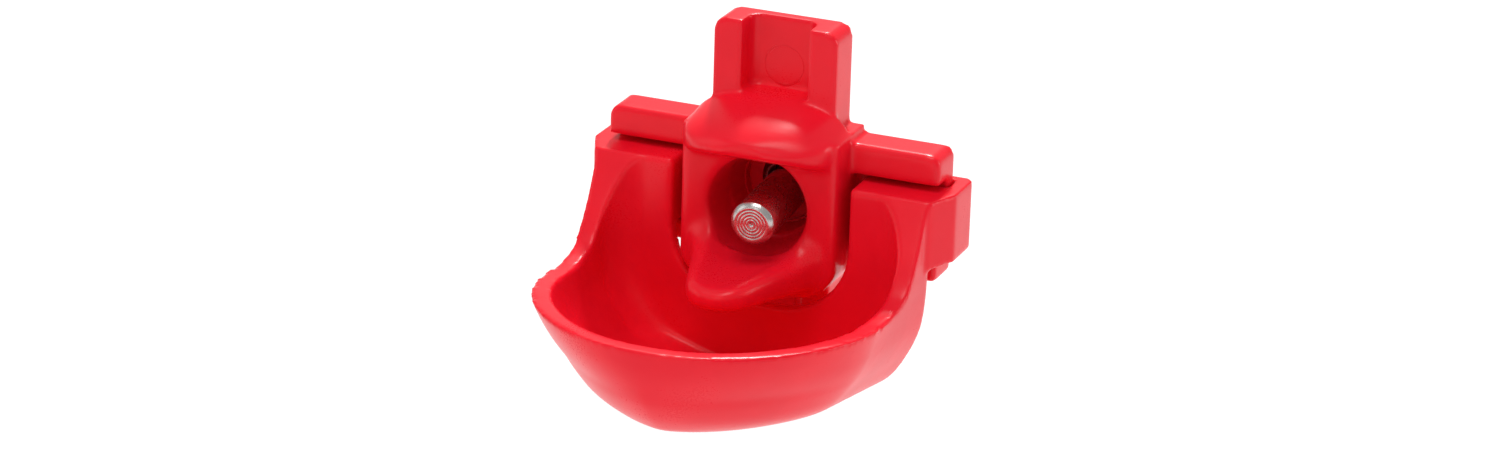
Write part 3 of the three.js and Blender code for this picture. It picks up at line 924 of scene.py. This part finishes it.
    def _recess(self) -> list[bpy.types.Object]:
        """The flared mouth and the recess round the pin."""
        front = self.block_front
        turn = front + self.mouth_depth
        recess = [(self.recess, front - JOIN), (self.recess, turn), (self.recess_end_radius, self.recess_end)]
        mouth = [(self.mouth, front - 1), (self.mouth, front), (self.recess, turn)]
        return [
            Bench.rod(recess, 96),
            Bench.rod(mouth, 96, -self.mouth_drop),
        ]

    def _softness(self, point: Vector) -> float:
        """How much more a point of the skin is relaxed: the hood and the tongue are rounder."""
        side, depth = abs(point.x), -point.y
        ahead = blend_between(depth, self.flange + 0.8, self.flange + 3.0) * 0.9
        ends = blend_between(side, self.plate_edge - 2.5, self.plate_edge - 0.6)
        arms = blend_between(point.z, 0.0, self.arm_bottom) * blend_between(depth, 0.3, 1.5)
        edges = blend_between(depth, 3.6, 4.6) * blend_between(side, 8.0, 9.5) * 0.5
        return max(ahead, ends * arms, edges)

    def _marks(self) -> list[bpy.types.Object]:
        """The fine round groove that an ejector pin left on the upright's web, and one on its leg's."""
        ring = [(radius, -self.web + depth) for radius, depth in MARK_PROFILE]
        marks = []
        for height in MARK_HEIGHTS:
            mark = Bench.turned(ring, 72)
            Bench.slide(mark, (0.0, 0.0, height))
            marks.append(mark)
        return marks

    def _bores(self) -> list[bpy.types.Object]:
        """The recess's end, which the shank's foot filled, then the spring's bore and the stem's bore."""
        return [
            Bench.rod([(self.recess_end_radius, -self.web), (self.recess_end_radius, self.recess_end)], 96),
            Bench.rod([(self.spring_bore, self.recess_end - 1), (self.spring_bore, self.spring_seat)], 96),
            Bench.rod([(self.stem_bore, self.spring_seat - 1), (self.stem_bore, self.shank + 1)], 96),
        ]

    def _shank(self) -> bpy.types.Object:
        """The tapered shank with its helical thread."""
        rings = []
        for i in range(int(self.shank / self.pitch * THREAD_RINGS) + 1):
            y = min(self.shank, i * self.pitch / THREAD_RINGS)
            crest = self.thread_base + (self.thread_tip - self.thread_base) * y / self.shank
            run_out = blend_between(y, self.shank - self.thread_end, self.shank)
            fade = blend_between(y, 0.0, self.thread_start) * (1 - run_out)
            ring = []
            for k in range(THREAD_STEPS):
                turn = k / THREAD_STEPS
                phase = (y / self.pitch - turn) % 1.0
                flank = phase / CREST_AT if phase < CREST_AT else (1 - phase) / (1 - CREST_AT)
                radius = crest - self.thread_depth * (1 - min(1.0, flank * CREST_FLAT) * fade)
                a = 2 * math.pi * turn
                ring.append((radius * math.cos(a), y, radius * math.sin(a)))
            rings.append(ring)
        foot = [(x * FOOT_SIZE, -self.web * FOOT_DEPTH, z * FOOT_SIZE) for x, _, z in rings[0]]
        return Bench.loft([foot, *rings])


# ---- Cup ---------------------------------------------------------------------------------------------


# The bowl from its rim down to its floor: share of the depth, half of the width, front
BOWL_LEVELS = [
    (0.0, 20.5, -42.8),
    (0.2, 19.8, -42.35),
    (0.4, 18.8, -41.4),
    (0.6, 17.0, -40.1),
    (0.8, 14.4, -37.7),
    (0.93, 10.0, -34.5),
    (1.0, 6.5, -27.3),
]
# How the rim climbs to the shoulder: distance ahead of the back wall, and height above its lowest point
RIM_CLIMB = ((6.9, 0.6), (4.6, 2.2), (2.1, 5.9))


@dataclass
class Cup:
    """The red moulding with the bowl, its notched back wall, shoulders and hooks."""

    centre: float = -21.8
    front: float = -42.8
    beyond: float = 90.0
    rim_front: float = -6.0
    rim_low: float = -7.4
    rim_low_at: float = -20.0
    rim_swell: float = 0.2
    depth: float = 15.0
    wall: float = 2.3
    floor_wall: float = 2.0
    floor_fall: float = 0.125
    spread: float = 0.14
    point: float = 0.9
    back_front: float = -8.3
    back_wall: float = 1.8
    back_lean: float = 0.07
    notch_edge: float = 10.95
    notch_bottom: float = -12.6
    notch_corner: float = 8.2
    inner_corner: float = 4.0
    outer_corner: float = 1.5
    shoulder_top: float = 3.2
    shoulder_bottom: float = -5.1
    shoulder_back: float = -2.4
    hook_inside: float = 20.8
    hook_outside: float = 22.5
    hook_chamfer: float = 3.9
    lip: float = 1.3
    lip_reach: float = 19.0
    skin: float = 0.32
    around: int = 96

    def build(self, plastic: bpy.types.Material, slot: str) -> None:
        """Makes the moulding and puts it in the frame.

        Args:
            plastic: The material.
            slot: Not used.
        """
        cup = self._form(0, 0, self.back_front + self.back_wall + JOIN, self.outer_corner)
        Bench.combine(cup, self._below_rim(), Join.KEEP_COMMON)
        Bench.combine(cup, self._before_back(), Join.KEEP_COMMON)
        inner = self._form(self.wall, self.floor_wall, self.back_front, self.inner_corner)
        Bench.combine(cup, inner, Join.CUT)
        for side in (-1, 1):
            Bench.combine(cup, self._shoulder(side), Join.ADD)
        Bench.combine(cup, self._notch(), Join.CUT)
        Bench.mould(cup, self.skin, 4)
        Bench.settle(cup, "cup_moulding")
        dress(cup, plastic, "root", ["cup"])

    def _plan(self, level: tuple, wall: float, back: float, corner: float) -> list[Pair]:
        """The bowl's plan at one level: round to pointed in front, straight sides, round back corners."""
        share, half, front = level
        wide = half * (1 + self.spread * share) - wall
        power = 2 / (2 - self.point * min(share, 0.5))
        turn = min(corner, wide)
        nose = []
        for c, s in arc(0, 0, 1, 180, 360, self.around):
            x = (half - wall) * math.copysign(abs(c) ** power, c)
            nose.append((x, self.centre - (self.centre - front - wall) * abs(s) ** power))
        return [
            *nose,
            *arc(wide - turn, back - turn, turn, 0, 90, 10),
            *arc(turn - wide, back - turn, turn, 90, 180, 10),
        ]

    def _form(self, wall: float, floor_wall: float, back: float, corner: float) -> bpy.types.Object:
        """The bowl's outer or inner form, drawn up from its floor.

        Args:
            wall: How far inside the outer form it lies.
            floor_wall: How far above the outer floor its floor lies.
            back: Its back face's Y.
            corner: The radius of its back corners.

        Returns:
            The closed form.
        """
        rings = []
        for level in reversed(curve_table(BOWL_LEVELS, 5)):
            share = min(1.0, level[0])
            z = self.rim_front - share * (self.depth - floor_wall)
            plan = self._plan(level, wall, back, corner)
            rings.append([(x, y, z - self.floor_fall * (y - self.centre) * share) for x, y in plan])
        top = self.shoulder_top + JOIN
        rings.append([(x, y, top) for x, y, _ in rings[-1]])
        return Bench.loft(rings)

    def _below_rim(self) -> bpy.types.Object:
        """Everything below the rim's long curve."""
        front = self.front
        back, low = self.back_front, self.rim_low
        rim = curve_through(
            [
                (front, self.rim_front),
                ((front + self.rim_low_at) / 2, (self.rim_front + low) / 2 + self.rim_swell),
                (self.rim_low_at, low),
                *((back - ahead, low + above) for ahead, above in RIM_CLIMB),
                (back, self.shoulder_top),
            ],
            10,
        )
        deep = -self.beyond
        outline = [*rim, (0, self.shoulder_top), (0, deep), (front - 1, deep), (front - 1, self.rim_front)]
        return Bench.prism(outline, Axis.X, deep, -deep)

    def _before_back(self) -> bpy.types.Object:
        """Everything in front of the leaning back face."""
        top = self.back_front + self.back_wall
        low = -self.beyond
        outline = [
            (-self.beyond, self.beyond),
            (top, self.beyond),
            (top, self.rim_front),
            (top + self.back_lean * (low - self.rim_front), low),
            (-self.beyond, low),
        ]
        return Bench.prism(outline, Axis.X, low, -low)

    def _notch(self) -> bpy.types.Object:
        """The opening that the block and the tongue come through."""
        edge, low, corner = self.notch_edge, self.notch_bottom, self.notch_corner
        outline = [
            *arc(corner - edge, low + corner, corner, 180, 270, 16),
            *arc(edge - corner, low + corner, corner, 270, 360, 16),
            (edge, self.beyond),
            (-edge, self.beyond),
        ]
        return Bench.prism(outline, Axis.Y, self.back_front - JOIN, JOIN)

    def _shoulder(self, side: int) -> bpy.types.Object:
        """One shoulder with its hook round the plate's end."""
        behind = GAP + self.lip
        outline = [
            (self.notch_edge - JOIN, self.back_front),
            (self.hook_inside, self.back_front),
            (self.hook_outside, self.back_front + self.hook_chamfer),
            (self.hook_outside, behind - self.lip / 2),
            (self.hook_outside - self.lip / 2, behind),
            (self.lip_reach, behind),
            (self.lip_reach, GAP),
            (self.hook_inside, GAP),
            (self.hook_inside, self.shoulder_back),
            (self.notch_edge - JOIN, self.shoulder_back),
        ]
        outline = [(side * x, y) for x, y in outline]
        return Bench.prism(outline, Axis.Z, self.shoulder_bottom, self.shoulder_top)


# ---- Valve parts and washer --------------------------------------------------------------------------


@dataclass
class Valve:
    """The pin, its spring, the rubber seal and the button that holds it."""

    radius: float = 2.6
    face: float = -13.4
    seat: float = 14.1
    sag: float = 2.1
    lean: float = 2.3
    back: float = -1.7
    chamfer: float = 0.5
    stem: float = 1.0
    seal_front: float = 13.7
    seal_back: float = 14.5
    seal_radius: float = 2.8
    seal_end: float = 2.2
    button_front: float = 14.8
    button_back: float = 15.9
    button_radius: float = 1.9
    button_chamfer: float = 0.25
    wire: float = 0.5
    coil: float = 2.3
    turns: int = 6
    push: float = 1.2
    spring_seat: float = 7.0

    def build(self, steel: bpy.types.Material, wire: bpy.types.Material, rubber: bpy.types.Material) -> None:
        """Makes the valve's four pieces.

        Args:
            steel: For the pin and the button.
            wire: For the spring.
            rubber: For the seal.
        """
        pin = self._pin()
        Bench.settle(pin, "push_pin", 30)
        dress(pin, steel, "trigger", ["trigger_pin"])
        button = self._button()
        Bench.settle(button, "stem_button", 30)
        dress(button, steel, "button", ["tail_button"])
        seal = self._seal()
        Bench.settle(seal, "seal_cone", 40)
        dress(seal, rubber, "plunger", ["poppet_seal"])
        spring = self._spring()
        Bench.settle(spring, "coil_spring", 50)
        dress(spring, wire, "plunger", ["return_spring"])
        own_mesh(spring)

    def _pin(self) -> bpy.types.Object:
        """The pin with turning marks on its face, a chamfer, and its stem."""
        edge = self.radius - self.chamfer
        face = self.face
        profile = [(0.12, face + 0.16), (0.3, face + 0.02)]
        for ring in (0.62, 0.98, 1.36, 1.72):
            profile += [(ring - 0.07, face), (ring, face + 0.035), (ring + 0.07, face)]
        profile += [
            (edge - 0.06, face),
            (edge + 0.03, face + 0.04),
            (self.radius - 0.04, face + self.chamfer - 0.04),
            (self.radius, face + self.chamfer + 0.08),
            (self.radius, self.back - 0.25),
            (self.radius - 0.25, self.back),
            (self.stem + 0.2, self.back),
            (self.stem, self.back + 0.2),
            (self.stem, self.button_back - 0.2),
            (self.stem - 0.2, self.button_back),
        ]
        pin = Bench.rod(profile, 96)
        Bench.turn(pin, (0, self.seat, 0), {"X": self.sag, "Z": self.lean})
        return pin

    def _button(self) -> bpy.types.Object:
        """The button on the stem's end."""
        bore = self.stem + GAP
        cut = self.button_chamfer
        return Bench.turned(
            [
                (bore, self.button_front),
                (self.button_radius - 0.1, self.button_front),
                (self.button_radius, self.button_front + 0.1),
                (self.button_radius, self.button_back - cut),
                (self.button_radius - cut, self.button_back),
                (bore + 0.12, self.button_back),
                (bore, self.button_back - 0.12),
            ]
        )

    def _seal(self) -> bpy.types.Object:
        """The rubber cone."""
        bore = self.stem + GAP
        return Bench.turned(
            [
                (bore, self.seal_front),
                (self.seal_radius - 0.12, self.seal_front),
                (self.seal_radius, self.seal_front + 0.12),
                (self.seal_radius - 0.02, self.seal_front + 0.25),
                (self.seal_end + 0.1, self.seal_back - 0.08),
                (self.seal_end - 0.05, self.seal_back),
                (bore, self.seal_back),
            ]
        )

    def _spring(self) -> bpy.types.Object:
        """The coil, with a closed turn at each end."""
        start = self.back + GAP + self.wire / 2
        end = self.spring_seat - GAP - self.wire / 2
        steps = 28 * self.turns
        rings = []
        for i in range(steps + 1):
            t = i / steps
            a = 2 * math.pi * self.turns * t
            rise = t + math.sin(4 * math.pi * t) * 0.035
            centre = Vector((self.coil * math.cos(a), start + (end - start) * rise, self.coil * math.sin(a)))
            out = Vector((math.cos(a), 0, math.sin(a)))
            along = Vector((0, 1, 0))
            ring = []
            for k in range(12):
                b = 2 * math.pi * k / 12
                ring.append(tuple(centre + (out * math.cos(b) + along * math.sin(b)) * self.wire / 2))
            rings.append(ring)
        return Bench.loft(rings)


@dataclass
class Washer:
    """The soft washer, loose on the shank."""

    radius: float = 9.4
    hole: float = 6.05
    front: float = 0.3
    back: float = 2.8
    corner: float = 0.45

    def build(self, silicone: bpy.types.Material) -> None:
        """Makes the washer with round edges and a slightly dished back."""
        mid = (self.radius + self.hole) / 2
        c = self.corner
        section = [
            *arc(self.hole + c, self.front + c, c, 180, 270, 5),
            *arc(self.radius - c, self.front + c, c, 270, 360, 5),
            *arc(self.radius - c, self.back - c, c, 0, 90, 5),
            (mid, self.back - 0.12),
            *arc(self.hole + c, self.back - c, c, 90, 180, 5),
        ]
        washer = Bench.turned(section, 128)
        Bench.settle(washer, "soft_washer", 50)
        dress(washer, silicone, "washer", ["sealing_washer"])


# ---- Studio ------------------------------------------------------------------------------------------


@dataclass
class Studio:
    """The floor, the soft lights and the camera."""

    azimuth: float = 21.92
    elevation: float = 20.58
    roll: float = 1.74
    distance: float = 500.0
    focus: Point = (0.0, -13.0, -1.0)
    slide: Pair = (0.77, -0.66)
    lens: float = 105.5
    floor_drop: float = 0.15

    def build(self) -> None:
        """Makes the whole studio."""
        self._floor()
        self._lights()
        self._camera()

    def _directions(self) -> tuple[Vector, Vector, Vector]:
        """The camera's right, up and forward directions."""
        az, el, roll = (math.radians(v) for v in (self.azimuth, self.elevation, self.roll))
        right = Vector((math.cos(az), math.sin(az), 0))
        forward = Vector((-math.sin(az) * math.cos(el), math.cos(az) * math.cos(el), -math.sin(el)))
        up = right.cross(forward)
        turned_right = right * math.cos(roll) + up * math.sin(roll)
        turned_up = up * math.cos(roll) - right * math.sin(roll)
        return turned_right, turned_up, forward

    def _camera(self) -> None:
        """Sets the camera at its place and turn."""
        right, up, forward = self._directions()
        aim = Vector(self.focus) + right * self.slide[0] + up * self.slide[1]
        place = (aim - forward * self.distance) * MM
        data = bpy.data.cameras.new("camera")
        data.lens = self.lens
        data.sensor_width = 36
        data.clip_start, data.clip_end = 0.01, 50
        camera = bpy.data.objects.new("camera", data)
        bpy.context.scene.collection.objects.link(camera)
        turn = Matrix((right, up, -forward)).transposed().to_4x4()
        camera.matrix_world = Matrix.Translation(place) @ turn
        bpy.context.scene.camera = camera

    def _floor(self) -> None:
        """A broad sheet of pale paper just under the cup."""
        Bench.clear()
        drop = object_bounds()[0][2] - self.floor_drop * MM
        bpy.ops.mesh.primitive_plane_add(size=6, location=(0, 0, drop))
        floor = bpy.context.object
        floor.name = "floor"
        floor.data.materials.append(PaleFloor().make())
        floor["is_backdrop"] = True

    def _lights(self) -> None:
        """Soft boxes all round and above, in a pale room."""
        self._softbox("top", (0.0, -0.3, 1.1), 0.5, 5.0)
        self._softbox("key", (-0.1, -0.95, 0.6), 0.5, 0.9)
        self._softbox("side", (0.95, 0.45, 0.15), 0.45, 2.6)
        self._softbox("fill", (-0.9, -0.5, 0.4), 0.6, 1.1)
        self._softbox("back", (-0.2, 0.7, 0.8), 0.12, 8.0)
        world = bpy.data.worlds.new("room")
        world.use_nodes = True
        ground = world.node_tree.nodes["Background"]
        ground.inputs["Color"].default_value = (1.0, 1.0, 1.0, 1.0)
        ground.inputs["Strength"].default_value = 0.46
        bpy.context.scene.world = world

    def _softbox(self, name: str, place: Point, size: float, power: float) -> None:
        """One square soft light that points at the object, with its place and side in metres."""
        data = bpy.data.lights.new(name, "AREA")
        data.size = size
        data.energy = power
        light = bpy.data.objects.new(name, data)
        bpy.context.scene.collection.objects.link(light)
        direction = Vector(self.focus) * MM - Vector(place)
        light.location = place
        light.rotation_euler = direction.to_track_quat("-Z", "Y").to_euler()


def main() -> None:
    """Builds each sub-assembly in the frame, then the studio."""
    logging.basicConfig(level=logging.INFO, format="%(name)s: %(message)s")
    ValveBody().build(MouldedPlastic("red_body_plastic", "body_plastic").make(), "body_plastic")
    Cup().build(MouldedPlastic("red_cup_plastic", "cup_plastic").make(), "cup_plastic")
    Valve().build(TurnedSteel().make(), SpringWire().make(), BlackRubber().make())
    Washer().build(MilkySilicone().make())
    Studio().build()
    bpy.context.scene.view_settings.view_transform = "Standard"


if __name__ == "__main__":
    main()
